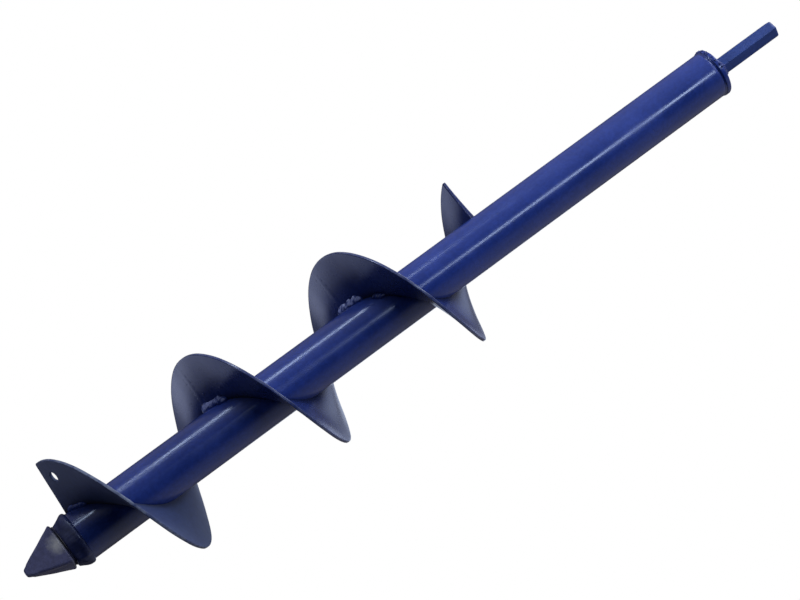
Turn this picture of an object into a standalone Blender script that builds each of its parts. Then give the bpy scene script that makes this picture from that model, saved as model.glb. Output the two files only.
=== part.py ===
"""Welded drill auger bit: a steel tube that carries a right-hand screw flight of
three single-turn sections, a square pyramid pilot point at its lower end, and an
end plate with a hexagonal drive shank at its upper end.

The frame: the origin is the tip of the pilot point, +Z runs up the axis towards
the drive shank, and the screw climbs anticlockwise as seen from above.
All lengths are in metres, all angles in degrees.
"""

import math

import bmesh
import bpy
from mathutils import Matrix, Vector

# ---------------------------------------------------------------- dimensions
GAP = 0.0003                 # clearance left between pieces that are welded together

TUBE_R = 0.0160              # 32 mm tube
TUBE_BORE_R = 0.0135         # 2.5 mm wall
TUBE_Z0, TUBE_Z1 = 0.0360, 0.5360
TUBE_BEVEL = 0.0012          # weld preparation at the tube's upper end

FLIGHT_R = 0.0505            # outer radius of the screw
FLIGHT_ROOT_R = TUBE_R + GAP
FLIGHT_T = 0.0020            # plate thickness
PITCH = 0.1068
START_Z = 0.0425             # mid-plane height where the screw begins
START_DEG = 177.0            # its direction from the axis there
TOTAL_DEG = 1058.0           # 2.94 turns
SECTIONS = 3
SECTION_DEG = TOTAL_DEG / SECTIONS
LEAD_ROOT_DEG, LEAD_RIM_DEG = -4.0, 3.0   # the leading edge is cut a little off radial
TAIL_ROOT_DEG, TAIL_RIM_DEG = -8.0, -2.0  # and so is the trailing edge
JOINT_W = 0.0026             # width of the butt weld between two sections
JOINT_T = 0.0028
HOLE_R = 0.0033              # blade hole near the leading corner
HOLE_AT_R, HOLE_AT_DEG = 0.0386, 15.8

POINT_BASE_HALF = 0.0133     # 26.6 mm across the flats
POINT_TIP_HALF = 0.0031
POINT_OFFSET_X = -0.0009     # the forged head sits a little off the stem's axis
POINT_H = 0.0260
POINT_TURN_DEG = -101.0      # direction that the middle of one flat faces
STEM_R = 0.0132
STEM_Z1 = 0.0660

PLATE_R = 0.0167
PLATE_Z0, PLATE_Z1 = 0.5365, 0.5397

HEX_AF = 0.0110
HEX_CORNER_DEG = -87.0
SHANK_Z0, SHANK_Z1 = 0.5200, 0.5904
SHANK_CHAMFER = 0.0009
SHANK_SEAT_AF = 0.0108       # the bar is ground a little smaller where it sits in the plate and the weld
SHANK_SEAT_Z1, SHANK_GRIP_Z0 = 0.5459, 0.5462

PAINT = (0.020, 0.042, 0.165, 1.0)
PAINT_FLIGHT = (0.030, 0.036, 0.085, 1.0)
PAINT_POINT = (0.120, 0.125, 0.210, 1.0)
PAINT_WELD = (0.026, 0.046, 0.150, 1.0)

RISE = PITCH / (2 * math.pi)  # climb of the screw per radian


# ---------------------------------------------------------------- helpers
def clear_scene():
    for obj in list(bpy.data.objects):
        bpy.data.objects.remove(obj, do_unlink=True)


def paint(name, colour, roughness):
    mat = bpy.data.materials.new(name)
    mat.use_nodes = True
    bsdf = mat.node_tree.nodes["Principled BSDF"]
    bsdf.inputs["Base Color"].default_value = colour
    bsdf.inputs["Roughness"].default_value = roughness
    bsdf.inputs["Metallic"].default_value = 0.0
    bsdf.inputs["Coat Weight"].default_value = 0.6
    return mat


def finish_object(name, bm, material, parent, sharp_deg=30.0):
    """Turns a bmesh into a named object, faces outwards, smooth with sharp edges kept."""
    bmesh.ops.remove_doubles(bm, verts=bm.verts, dist=1e-6)
    bmesh.ops.recalc_face_normals(bm, faces=bm.faces)
    if bm.calc_volume(signed=True) < 0:
        bmesh.ops.reverse_faces(bm, faces=bm.faces)
    mesh = bpy.data.meshes.new(name)
    bm.to_mesh(mesh)
    bm.free()
    mesh.shade_smooth()
    mesh.set_sharp_from_angle(angle=math.radians(sharp_deg))
    mesh.materials.append(material)
    obj = bpy.data.objects.new(name, mesh)
    bpy.context.scene.collection.objects.link(obj)
    obj.parent = parent
    return obj


def turned(profile, steps, closed):
    """A profile of (radius, z) points spun once round the axis. A closed profile makes
    a ring; an open one starts and ends on the axis and makes a solid."""
    bm = bmesh.new()
    verts = [bm.verts.new((r, 0.0, z)) for r, z in profile]
    edges = [bm.edges.new(pair) for pair in zip(verts, verts[1:])]
    if closed:
        edges.append(bm.edges.new((verts[-1], verts[0])))
    bmesh.ops.spin(
        bm, geom=verts + edges, cent=(0, 0, 0), axis=(0, 0, 1),
        angle=2 * math.pi, steps=steps, use_merge=True,
    )
    return bm


def loft(rings, capped=True):
    """Joins loops of equal length one after another, with a face at each end."""
    bm = bmesh.new()
    loops = [[bm.verts.new(p) for p in ring] for ring in rings]
    n = len(loops[0])
    for low, high in zip(loops, loops[1:]):
        for i in range(n):
            j = (i + 1) % n
            bm.faces.new((low[i], low[j], high[j], high[i]))
    if capped:
        bm.faces.new(list(reversed(loops[0])))
        bm.faces.new(loops[-1])
    return bm


def closed_loft(rings):
    """Joins loops of equal length into a ring-shaped body: the last meets the first."""
    bm = bmesh.new()
    loops = [[bm.verts.new(p) for p in ring] for ring in rings]
    n = len(loops[0])
    for k, low in enumerate(loops):
        high = loops[(k + 1) % len(loops)]
        for i in range(n):
            j = (i + 1) % n
            bm.faces.new((low[i], low[j], high[j], high[i]))
    return bm


def polar(r, deg, z):
    a = math.radians(deg)
    return (r * math.cos(a), r * math.sin(a), z)


def screw_z(turned_deg):
    """Height of the screw's mid-plane after turning so far from its start."""
    return START_Z + RISE * math.radians(turned_deg)


def half_height(r, thickness):
    """Half of a plate's height along Z at radius r, where it is inclined by the screw's slope."""
    return thickness / 2 * math.sqrt(1 + (RISE / r) ** 2)


def arc_deg(length, r):
    """The turn that covers this length along the screw at radius r."""
    return math.degrees(length / math.hypot(r, RISE))


def hex_radius(deg, half_flat):
    """Distance from the axis to a hexagon's side in this direction."""
    off = (deg - HEX_CORNER_DEG) % 60.0 - 30.0
    return half_flat / math.cos(math.radians(off))


# ---------------------------------------------------------------- flight
def flight_section(name, index, material, parent, steps=48):
    """One turn of the screw: a plate swept along the helix, its rulings at right angles to the axis."""
    radii = [FLIGHT_ROOT_R, 0.0215, 0.0300, 0.0400, FLIGHT_R]
    begin, end = index * SECTION_DEG, (index + 1) * SECTION_DEG

    def span(r):
        share = (r - TUBE_R) / (FLIGHT_R - TUBE_R)
        trim = arc_deg(JOINT_W / 2 + GAP, r)
        a = begin + trim
        b = end - trim
        if index == 0:
            a = LEAD_ROOT_DEG + (LEAD_RIM_DEG - LEAD_ROOT_DEG) * share
        if index == SECTIONS - 1:
            b = end + TAIL_ROOT_DEG + (TAIL_RIM_DEG - TAIL_ROOT_DEG) * share
        return a, b

    rings = []
    for i in range(steps + 1):
        upper, lower = [], []
        for r in radii:
            a, b = span(r)
            t = a + (b - a) * i / steps
            h = half_height(r, FLIGHT_T)
            upper.append(polar(r, START_DEG + t, screw_z(t) + h))
            lower.append(polar(r, START_DEG + t, screw_z(t) - h))
        rings.append(upper + lower[::-1])
    return finish_object(name, loft(rings), material, parent, 35.0)


def drill_blade_hole(flight):
    """A bolt hole square to the plate near its leading outer corner."""
    t = HOLE_AT_DEG
    a = math.radians(START_DEG + t)
    centre = Vector(polar(HOLE_AT_R, START_DEG + t, screw_z(t)))
    radial = Vector((math.cos(a), math.sin(a), 0))
    along = Vector((-math.sin(a) * HOLE_AT_R, math.cos(a) * HOLE_AT_R, RISE)).normalized()
    normal = radial.cross(along)
    bm = bmesh.new()
    bmesh.ops.create_cone(
        bm, cap_ends=True, segments=24, radius1=HOLE_R, radius2=HOLE_R, depth=0.012
    )
    mesh = bpy.data.meshes.new("blade_hole_cutter")
    bm.to_mesh(mesh)
    bm.free()
    cutter = bpy.data.objects.new("blade_hole_cutter", mesh)
    bpy.context.scene.collection.objects.link(cutter)
    cutter.matrix_world = Matrix.Translation(centre) @ normal.to_track_quat("Z", "Y").to_matrix().to_4x4()
    cutter.hide_render = True
    cutter.display_type = "WIRE"
    cut = flight.modifiers.new("blade_hole", "BOOLEAN")
    cut.operation = "DIFFERENCE"
    cut.object = cutter


def joint_weld(name, turned_deg, material, parent):
    """The butt weld between two sections: a low bead along one ruling of the screw."""
    rings = []
    radii = [FLIGHT_ROOT_R, 0.0220, 0.0235, 0.0250, 0.0300, 0.0350, 0.0400, 0.0450, FLIGHT_R]
    for r in radii:
        w = arc_deg(JOINT_W / 2, r)
        proud = 1.0 if r > 0.0236 else FLIGHT_T / JOINT_T  # flush where the root weld crosses it
        ring = []
        for share, height in ((-1, 0.75), (-0.55, 1.0), (0.55, 1.0), (1, 0.75)):
            t = turned_deg + w * share
            ring.append(polar(r, START_DEG + t, screw_z(t) + half_height(r, JOINT_T * height * proud)))
        for share, height in ((1, 0.75), (0.55, 1.0), (-0.55, 1.0), (-1, 0.75)):
            t = turned_deg + w * share
            ring.append(polar(r, START_DEG + t, screw_z(t) - half_height(r, JOINT_T * height * proud)))
        rings.append(ring)
    return finish_object(name, loft(rings), material, parent, 40.0)


def root_weld(name, begin, end, leg, side, material, parent):
    """A stitch of fillet weld in the corner between the tube and the flight.
    side is -1 on the face towards the point and +1 on the face towards the shank."""
    count = max(6, int((end - begin) / 3.0))
    rings = []
    for i in range(count + 1):
        share = i / count
        t = begin + (end - begin) * share
        ends = min(1.0, 0.35 + 4.0 * min(share, 1 - share))
        ripple = 1.0 + 0.13 * math.sin(math.radians(t * 27.0)) + 0.06 * math.sin(math.radians(t * 11.0 + 40))
        size = leg * ends * ripple
        r0 = FLIGHT_ROOT_R
        face = screw_z(t) + side * (half_height(r0, FLIGHT_T) + GAP * 1.45)

        def at(dr, dz):
            r = r0 + dr
            lift = half_height(r, FLIGHT_T) + GAP * 1.45 - (half_height(r0, FLIGHT_T) + GAP * 1.45)
            base = face + side * lift if dz == 0 else face
            return polar(r, START_DEG + t, base + side * dz)

        ring = [at(0.0, 0.0), at(size, 0.0), at(size * 0.80, size * 0.42), at(size * 0.42, size * 0.84), at(0.0, size * 1.15)]
        rings.append(ring if side > 0 else ring[::-1])
    return finish_object(name, loft(rings), material, parent, 50.0)


# ---------------------------------------------------------------- turned and forged pieces
def square_ring(half, z, corner, turn_deg, per_corner=5, shift=POINT_OFFSET_X):
    """A square with rounded corners, its sides square to turn_deg."""
    ring = []
    for k in range(4):
        cx, cy = ((1, 1), (-1, 1), (-1, -1), (1, -1))[k]
        for i in range(per_corner):
            a = math.radians(90 * k + 90 * i / (per_corner - 1))
            x = cx * (half - corner) + corner * math.cos(a)
            y = cy * (half - corner) + corner * math.sin(a)
            b = math.radians(turn_deg)
            ring.append((x * math.cos(b) - y * math.sin(b) + shift, x * math.sin(b) + y * math.cos(b), z))
    return ring


def round_ring(r, z, turn_deg, per_corner=5):
    """A circle with the same vertex order as square_ring."""
    ring = []
    for k in range(4):
        for i in range(per_corner):
            deg = 90 * k + 90 * (i + 0.5) / per_corner
            ring.append(polar(r, deg + turn_deg, z))
    return ring


def pilot_point(name, material, parent):
    """A forged point: a square pyramid, a short shoulder, and a round stem inside the tube."""
    turn = POINT_TURN_DEG
    rings = [
        square_ring(POINT_TIP_HALF * 0.62, 0.0, 0.0006, turn),
        square_ring(POINT_TIP_HALF, 0.0008, 0.0008, turn),
    ]
    for share in (0.25, 0.5, 0.75, 1.0):
        half = POINT_TIP_HALF + (POINT_BASE_HALF - POINT_TIP_HALF) * share
        rings.append(square_ring(half, 0.0008 + (POINT_H - 0.0008) * share, 0.0008 + 0.0008 * share, turn))
    rings += [
        square_ring(POINT_BASE_HALF, POINT_H + 0.0008, 0.0016, turn),
        square_ring(POINT_BASE_HALF - 0.0008, POINT_H + 0.0018, 0.0020, turn),
        round_ring(STEM_R + 0.0004, POINT_H + 0.0026, turn),
        round_ring(STEM_R, POINT_H + 0.0036, turn),
        round_ring(STEM_R, STEM_Z1 - 0.0015, turn),
        round_ring(STEM_R - 0.0015, STEM_Z1, turn),
    ]
    return finish_object(name, loft(rings), material, parent, 28.0)


def end_plate(name, material, parent, steps=72):
    """A disc on the tube's upper end with a hexagonal hole for the shank."""
    edge = 0.0006
    rings = []
    for r_outer, z in ((PLATE_R - edge, PLATE_Z0), (PLATE_R, PLATE_Z0 + edge), (PLATE_R, PLATE_Z1 - edge), (PLATE_R - edge, PLATE_Z1)):
        rings.append([polar(r_outer, 360 * i / steps, z) for i in range(steps)])
    for z in (PLATE_Z1, PLATE_Z0):
        rings.append([
            polar(hex_radius(360 * i / steps + HEX_CORNER_DEG, SHANK_SEAT_AF / 2 + GAP), 360 * i / steps + HEX_CORNER_DEG, z)
            for i in range(steps)
        ])
    # the outer loops start where the hexagon's corner is, so the end faces stay even
    for k in range(4):
        z = rings[k][0][2]
        r = math.hypot(rings[k][0][0], rings[k][0][1])
        rings[k] = [polar(r, 360 * i / steps + HEX_CORNER_DEG, z) for i in range(steps)]
    return finish_object(name, closed_loft(rings), material, parent)


def drive_shank(name, material, parent):
    """Hexagonal bar with both ends chamfered."""
    rings = []
    for z, half in (
        (SHANK_Z0, SHANK_SEAT_AF / 2 - SHANK_CHAMFER),
        (SHANK_Z0 + SHANK_CHAMFER, SHANK_SEAT_AF / 2),
        (SHANK_SEAT_Z1, SHANK_SEAT_AF / 2),
        (SHANK_GRIP_Z0, HEX_AF / 2),
        (SHANK_Z1 - SHANK_CHAMFER, HEX_AF / 2),
        (SHANK_Z1, HEX_AF / 2 - SHANK_CHAMFER),
    ):
        r = half / math.cos(math.radians(30))
        rings.append([polar(r, HEX_CORNER_DEG + 60 * k, z) for k in range(6)])
    return finish_object(name, loft(rings), material, parent, 20.0)


def shank_weld(name, material, parent, steps=48):
    """Fillet weld round the foot of the hexagonal shank, on the end plate."""
    z0 = PLATE_Z1 + GAP
    half = SHANK_SEAT_AF / 2 + GAP
    rings = []
    for grow, rise in ((0.0, 0.0), (0.0056, 0.0), (0.0040, 0.0010), (0.0023, 0.0025), (0.0010, 0.0048), (0.0, 0.0056)):
        ring = []
        for i in range(steps):
            deg = HEX_CORNER_DEG + 360 * i / steps
            flat = hex_radius(deg, half)
            round_r = half / math.cos(math.radians(30))
            blend = min(1.0, grow / 0.0034)
            ring.append(polar(flat * (1 - blend) + round_r * blend + grow, deg, z0 + rise))
        rings.append(ring)
    return finish_object(name, closed_loft(rings), material, parent, 50.0)


# ---------------------------------------------------------------- assembly
def build():
    clear_scene()
    axis = bpy.data.objects.new("auger_axis", None)
    bpy.context.scene.collection.objects.link(axis)

    blue = paint("tube_paint", PAINT, 0.30)
    flight_blue = paint("flight_paint", PAINT_FLIGHT, 0.38)
    point_grey = paint("point_paint", PAINT_POINT, 0.45)
    weld_blue = paint("weld_paint", PAINT_WELD, 0.35)

    tube = [
        (TUBE_BORE_R, TUBE_Z0), (TUBE_R, TUBE_Z0),
        (TUBE_R, TUBE_Z1 - TUBE_BEVEL), (TUBE_R - TUBE_BEVEL, TUBE_Z1),
        (TUBE_BORE_R, TUBE_Z1),
    ]
    finish_object("centre_tube", turned(tube, 64, True), blue, axis)

    for i in range(SECTIONS):
        section = flight_section(f"flight_section_{i + 1}", i, flight_blue, axis)
        if i == 0:
            drill_blade_hole(section)
    for i in range(1, SECTIONS):
        joint_weld(f"flight_joint_weld_{i}", i * SECTION_DEG, weld_blue, axis)

    for name, begin, end, leg, side in (
        ("root_weld_1_lower", 8.0, 40.0, 0.0036, -1),
        ("root_weld_2_lower", 349.0, 394.0, 0.0046, -1),
        ("root_weld_3_lower", 698.0, 741.0, 0.0046, -1),
        ("root_weld_4_lower", 766.0, 782.0, 0.0034, -1),
        ("root_weld_5_lower", 1020.0, 1047.0, 0.0042, -1),
        ("root_weld_1_upper", -2.0, 30.0, 0.0036, 1),
        ("root_weld_2_upper", 338.0, 368.0, 0.0036, 1),
        ("root_weld_3_upper", 690.0, 720.0, 0.0036, 1),
        ("root_weld_4_upper", 1020.0, 1047.0, 0.0036, 1),
    ):
        root_weld(name, begin, end, leg, side, weld_blue, axis)

    pilot_point("pilot_point", point_grey, axis)
    bead = [
        (STEM_R + GAP, 0.0294), (0.0143, 0.0290), (0.0150, 0.0308), (0.0162, 0.0332),
        (0.0173, 0.0354), (0.0176, 0.0368), (0.0172, 0.0382), (TUBE_R + GAP, 0.0388),
        (TUBE_R + GAP, TUBE_Z0 - GAP), (STEM_R + GAP, TUBE_Z0 - GAP),
    ]
    finish_object("pilot_weld", turned(bead, 64, True), weld_blue, axis, 50.0)

    end_plate("end_plate", blue, axis)
    groove = [
        (0.0139, TUBE_Z1 + GAP * 0.7), (TUBE_R - TUBE_BEVEL + 0.0002, TUBE_Z1 + GAP * 0.7),
        (TUBE_R + 0.0002, TUBE_Z1 - TUBE_BEVEL + 0.0005), (0.0162, TUBE_Z1 - 0.0002),
        (0.0158, PLATE_Z0 - GAP), (0.0139, PLATE_Z0 - GAP * 0.9),
    ]
    finish_object("end_plate_weld", turned(groove, 64, True), weld_blue, axis, 50.0)
    drive_shank("drive_shank", blue, axis)
    shank_weld("shank_weld", weld_blue, axis)


build()
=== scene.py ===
import math

import bmesh
import bpy
import numpy as np
from mathutils import Matrix, Vector, noise


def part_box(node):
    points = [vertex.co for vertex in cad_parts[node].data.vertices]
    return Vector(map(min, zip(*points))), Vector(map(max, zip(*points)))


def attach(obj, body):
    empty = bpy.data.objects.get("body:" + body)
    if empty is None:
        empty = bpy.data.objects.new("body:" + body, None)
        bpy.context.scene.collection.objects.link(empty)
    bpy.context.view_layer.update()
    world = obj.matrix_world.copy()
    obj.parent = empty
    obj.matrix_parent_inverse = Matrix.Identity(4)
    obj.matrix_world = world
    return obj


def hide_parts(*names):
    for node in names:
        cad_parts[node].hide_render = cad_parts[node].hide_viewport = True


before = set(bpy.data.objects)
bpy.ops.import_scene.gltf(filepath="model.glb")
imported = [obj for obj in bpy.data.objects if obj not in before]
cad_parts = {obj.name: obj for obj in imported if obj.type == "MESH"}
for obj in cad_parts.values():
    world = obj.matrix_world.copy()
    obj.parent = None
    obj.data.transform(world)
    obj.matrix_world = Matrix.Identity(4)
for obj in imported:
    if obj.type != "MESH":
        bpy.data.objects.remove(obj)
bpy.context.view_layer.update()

# ------------------------------------------------------------------ sizes (metres, as the CAD has them)
TUBE_R, TUBE_BORE_R = 0.0160, 0.0135
TUBE_Z0, TUBE_Z1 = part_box("centre_tube")[0].z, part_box("centre_tube")[1].z
FLIGHT_R, FLIGHT_T, PITCH = 0.0505, 0.0020, 0.1068
START_Z, START_DEG, TOTAL_DEG, SECTIONS = 0.0425, 177.0, 1058.0, 3
SECTION_DEG = TOTAL_DEG / SECTIONS
LEAD_ROOT_DEG, LEAD_RIM_DEG = -4.0, 3.0
TAIL_ROOT_DEG, TAIL_RIM_DEG = -8.0, -2.0
HOLE_R, HOLE_AT_R, HOLE_AT_DEG = 0.0033, 0.0386, 15.8
POINT_BASE_HALF, POINT_TIP_HALF, POINT_OFFSET_X = 0.0133, 0.0031, -0.0009
POINT_H, POINT_TURN_DEG, STEM_R, STEM_Z1 = 0.0260, -101.0, 0.0132, 0.0660
PLATE_R = 0.0167
PLATE_Z0, PLATE_Z1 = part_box("end_plate")[0].z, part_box("end_plate")[1].z
HEX_AF, HEX_CORNER_DEG = 0.0110, -87.0
SHANK_Z0, SHANK_Z1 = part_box("drive_shank")[0].z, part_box("drive_shank")[1].z
RISE = PITCH / (2 * math.pi)


def polar(r, deg, z):
    a = math.radians(deg)
    return (r * math.cos(a), r * math.sin(a), z)


def screw_z(t):
    return START_Z + RISE * math.radians(t)


def half_height(r, thickness):
    return thickness / 2 * math.sqrt(1 + (RISE / r) ** 2)


def nz(x, y, z, scale, seed=0.0):
    return noise.noise(Vector((x * scale + seed, y * scale - seed * 0.7, z * scale + seed * 1.3)))


# ------------------------------------------------------------------ materials
def node(tree, kind, at=(0, 0), **values):
    n = tree.nodes.new(kind)
    n.location = at
    for key, value in values.items():
        if key in n.inputs:
            n.inputs[key].default_value = value
        else:
            setattr(n, key, value)
    return n


def mix_rgb(tree, fac, a, b, at=(0, 0), blend="MIX"):
    m = tree.nodes.new("ShaderNodeMix")
    m.data_type = "RGBA"
    m.blend_type = blend
    m.location = at
    for socket, value in ((m.inputs[0], fac), (m.inputs[6], a), (m.inputs[7], b)):
        if isinstance(value, bpy.types.NodeSocket):
            tree.links.new(value, socket)
        else:
            socket.default_value = value
    return m.outputs[2]


def ramp(tree, fac, stops, at=(0, 0)):
    r = tree.nodes.new("ShaderNodeValToRGB")
    r.location = at
    tree.links.new(fac, r.inputs[0])
    els = r.color_ramp.elements
    while len(els) > 2:
        els.remove(els[-1])
    for i, (pos, col) in enumerate(stops):
        e = els[i] if i < 2 else els.new(pos)
        e.position = pos
        e.color = col if len(col) == 4 else (*col, 1)
    return r.outputs[0]


def grey(v):
    return (v, v, v, 1)


BARED, SOIL = (0.20, 0.24, 0.33, 1), (0.085, 0.125, 0.110, 1)


def sprayed_paint(name, deep, body, pale, rough=0.26, spec=0.5, peel=0.10, speck=0.5, patch=None, tint=(0.70, 0.80, 1.0, 1), shaded=None, dulled=None, light_falloff=None):
    """Sprayed enamel on steel: cloudy colour, orange peel, dust nibs, thin pale paint along worn edges, the same pale
    colour as a painted highlight on weld crests and flight rims, and optional painted shade by height and in corners.
    """
    mat = bpy.data.materials.new(name)
    mat.use_nodes = True
    t = mat.node_tree
    bsdf = t.nodes["Principled BSDF"]
    bsdf.inputs["Metallic"].default_value = 0.0
    bsdf.inputs["Specular IOR Level"].default_value = spec
    bsdf.inputs["Specular Tint"].default_value = tint
    coords = node(t, "ShaderNodeTexCoord", (-1500, 0))

    cloud = node(t, "ShaderNodeTexNoise", (-1200, 300), Scale=26.0, Detail=5.0, Roughness=0.6)
    t.links.new(coords.outputs["Object"], cloud.inputs["Vector"])
    base = ramp(t, cloud.outputs["Fac"], [(0.30, deep), (0.62, body)], (-950, 300))

    fine = node(t, "ShaderNodeTexNoise", (-1200, 50), Scale=420.0, Detail=3.0, Roughness=0.65)
    t.links.new(coords.outputs["Object"], fine.inputs["Vector"])
    grain = ramp(t, fine.outputs["Fac"], [(0.35, grey(0.86)), (0.70, grey(1.12))], (-950, 50))
    base = mix_rgb(t, 1.0, base, grain, (-650, 250), "MULTIPLY")

    nib = node(t, "ShaderNodeTexVoronoi", (-1200, -150), Scale=260.0)
    t.links.new(coords.outputs["Object"], nib.inputs["Vector"])
    nibs = ramp(t, nib.outputs["Distance"], [(0.0, grey(1.0)), (0.10, grey(0.0))], (-950, -150))
    where = node(t, "ShaderNodeTexNoise", (-1200, -400), Scale=55.0, Detail=2.0)
    t.links.new(coords.outputs["Object"], where.inputs["Vector"])
    some = ramp(t, where.outputs["Fac"], [(0.56, grey(0.0)), (0.66, grey(speck))], (-950, -400))
    dust = mix_rgb(t, 1.0, nibs, some, (-650, -250), "MULTIPLY")
    base = mix_rgb(t, dust, base, pale, (-450, 200))

    # the edge values bring in the pale colour: worn paint on most parts, a painted highlight on the weld crests, and
    # both on the flight rims
    worn = node(t, "ShaderNodeAttribute", (-1200, -650), attribute_name="edge")
    rub = node(t, "ShaderNodeTexNoise", (-1200, -850), Scale=190.0, Detail=4.0, Roughness=0.7)
    t.links.new(coords.outputs["Object"], rub.inputs["Vector"])
    add = node(t, "ShaderNodeMath", (-950, -700), operation="ADD")
    t.links.new(worn.outputs["Fac"], add.inputs[0])
    t.links.new(rub.outputs["Fac"], add.inputs[1])
    # the ramp clamps its input at 1, so the sum is brought down first
    half = node(t, "ShaderNodeMath", (-800, -700), operation="MULTIPLY")
    half.inputs[1].default_value = 0.5
    t.links.new(add.outputs[0], half.inputs[0])
    edge = ramp(t, half.outputs[0], [(0.52, grey(0.0)), (0.74, grey(0.75))], (-650, -900))
    base = mix_rgb(t, edge, base, pale, (-250, 150))

    if patch:
        centre, radius, colour, amount = patch
        away = node(t, "ShaderNodeVectorMath", (-1200, -1100), operation="DISTANCE")
        t.links.new(coords.outputs["Object"], away.inputs[0])
        away.inputs[1].default_value = centre
        scaled = node(t, "ShaderNodeMath", (-1000, -1100), operation="DIVIDE")
        t.links.new(away.outputs["Value"], scaled.inputs[0])
        scaled.inputs[1].default_value = radius
        ragged = node(t, "ShaderNodeMath", (-850, -1100), operation="ADD")
        wob = node(t, "ShaderNodeTexNoise", (-1200, -1300), Scale=330.0, Detail=4.0, Roughness=0.7)
        t.links.new(coords.outputs["Object"], wob.inputs["Vector"])
        t.links.new(scaled.outputs[0], ragged.inputs[0])
        t.links.new(wob.outputs["Fac"], ragged.inputs[1])
        down = node(t, "ShaderNodeMath", (-700, -1100), operation="MULTIPLY")
        down.inputs[1].default_value = 0.5
        t.links.new(ragged.outputs[0], down.inputs[0])
        share = ramp(t, down.outputs[0], [(0.30, grey(amount)), (0.78, grey(0.0))], (-550, -1100))
        base = mix_rgb(t, share, base, colour, (-100, 100))
    if shaded:
        # painted shade: the colour darkened from one height to another, where light is blocked: (height at full shade,
        # height at none, how dark)
        full, none, left = shaded
        apart = node(t, "ShaderNodeSeparateXYZ", (-1200, -1500))
        t.links.new(coords.outputs["Object"], apart.inputs[0])
        drift = node(t, "ShaderNodeMath", (-1000, -1500), operation="MULTIPLY_ADD")
        t.links.new(cloud.outputs["Fac"], drift.inputs[0])
        drift.inputs[1].default_value = 0.004
        t.links.new(apart.outputs["Z"], drift.inputs[2])
        height_shade = node(t, "ShaderNodeMapRange", (-800, -1500), interpolation_type="SMOOTHSTEP")
        height_shade.inputs["From Min"].default_value = full + 0.002
        height_shade.inputs["From Max"].default_value = none + 0.002
        height_shade.inputs["To Min"].default_value = left
        height_shade.inputs["To Max"].default_value = 1.0
        t.links.new(drift.outputs[0], height_shade.inputs["Value"])
        base = mix_rgb(t, 1.0, base, height_shade.outputs[0], (50, 100), "MULTIPLY")
    if light_falloff:
        # painted shade: the colour gets gradually darker towards the point, standing in for the light falling off
        # there: (height at full, height at none, share left)
        full, none, left = light_falloff
        up = node(t, "ShaderNodeSeparateXYZ", (-1200, -1650))
        t.links.new(coords.outputs["Object"], up.inputs[0])
        falloff_shade = node(t, "ShaderNodeMapRange", (-800, -1650))
        falloff_shade.inputs["From Min"].default_value = full
        falloff_shade.inputs["From Max"].default_value = none
        falloff_shade.inputs["To Min"].default_value = left
        falloff_shade.inputs["To Max"].default_value = 1.0
        t.links.new(up.outputs["Z"], falloff_shade.inputs["Value"])
        base = mix_rgb(t, 1.0, base, falloff_shade.outputs[0], (120, 100), "MULTIPLY")
    if dulled:
        # scoured dull low down, with a film of dried soil: (height at full, height at none, roughness there)
        full, none, scoured = dulled
        height = node(t, "ShaderNodeSeparateXYZ", (-1200, -1800))
        t.links.new(coords.outputs["Object"], height.inputs[0])
        low = node(t, "ShaderNodeMapRange", (-1000, -1800), interpolation_type="SMOOTHSTEP")
        low.inputs["From Min"].default_value = full
        low.inputs["From Max"].default_value = none
        low.inputs["To Min"].default_value = 1.0
        low.inputs["To Max"].default_value = 0.0
        t.links.new(height.outputs["Z"], low.inputs["Value"])
        film = mix_rgb(t, 1.0, low.outputs[0], ramp(t, cloud.outputs["Fac"], [(0.30, grey(0.06)), (0.70, grey(0.22))], (-1000, -1950)), (-700, -1900), "MULTIPLY")
        base = mix_rgb(t, film, base, SOIL, (160, 100))
    # painted shade: the colour darkened in the corner between plate and tube, by the corner values
    corner = node(t, "ShaderNodeAttribute", (-1200, -2000), attribute_name="corner")
    corner_shade = node(t, "ShaderNodeMath", (-1000, -2000), operation="MULTIPLY_ADD")
    t.links.new(corner.outputs["Fac"], corner_shade.inputs[0])
    corner_shade.inputs[1].default_value = -0.85
    corner_shade.inputs[2].default_value = 1.0
    base = mix_rgb(t, 1.0, base, corner_shade.outputs[0], (200, 100), "MULTIPLY")
    t.links.new(base, bsdf.inputs["Base Color"])

    lo, hi = rough - 0.05, rough + 0.09
    gloss = ramp(t, cloud.outputs["Fac"], [(0.30, grey(lo)), (0.70, grey(hi))], (-650, 500))
    if dulled:
        gloss = mix_rgb(t, low.outputs[0], gloss, grey(scoured), (-450, 550))
        rubbed = mix_rgb(t, edge, gloss, grey(rough), (-250, 450))
        bared = mix_rgb(t, 1.0, edge, low.outputs[0], (-50, 300), "MULTIPLY")
        base = mix_rgb(t, bared, base, BARED, (100, 300))
        t.links.new(base, bsdf.inputs["Base Color"])
    else:
        rubbed = mix_rgb(t, edge, gloss, grey(min(0.6, rough + 0.2)), (-250, 450))
    t.links.new(rubbed, bsdf.inputs["Roughness"])

    skin = node(t, "ShaderNodeTexNoise", (-1200, 700), Scale=620.0, Detail=2.0, Roughness=0.5)
    t.links.new(coords.outputs["Object"], skin.inputs["Vector"])
    swell = node(t, "ShaderNodeTexNoise", (-1200, 950), Scale=110.0, Detail=2.0, Roughness=0.5)
    t.links.new(coords.outputs["Object"], swell.inputs["Vector"])
    b1 = node(t, "ShaderNodeBump", (-650, 750), Strength=peel, Distance=0.0004)
    t.links.new(skin.outputs["Fac"], b1.inputs["Height"])
    b2 = node(t, "ShaderNodeBump", (-450, 850), Strength=peel * 1.3, Distance=0.0010)
    t.links.new(swell.outputs["Fac"], b2.inputs["Height"])
    t.links.new(b1.outputs[0], b2.inputs["Normal"])
    b3 = node(t, "ShaderNodeBump", (-250, 750), Strength=0.35, Distance=0.0002)
    t.links.new(dust, b3.inputs["Height"])
    t.links.new(b2.outputs[0], b3.inputs["Normal"])
    t.links.new(b3.outputs[0], bsdf.inputs["Normal"])
    return mat


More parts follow.
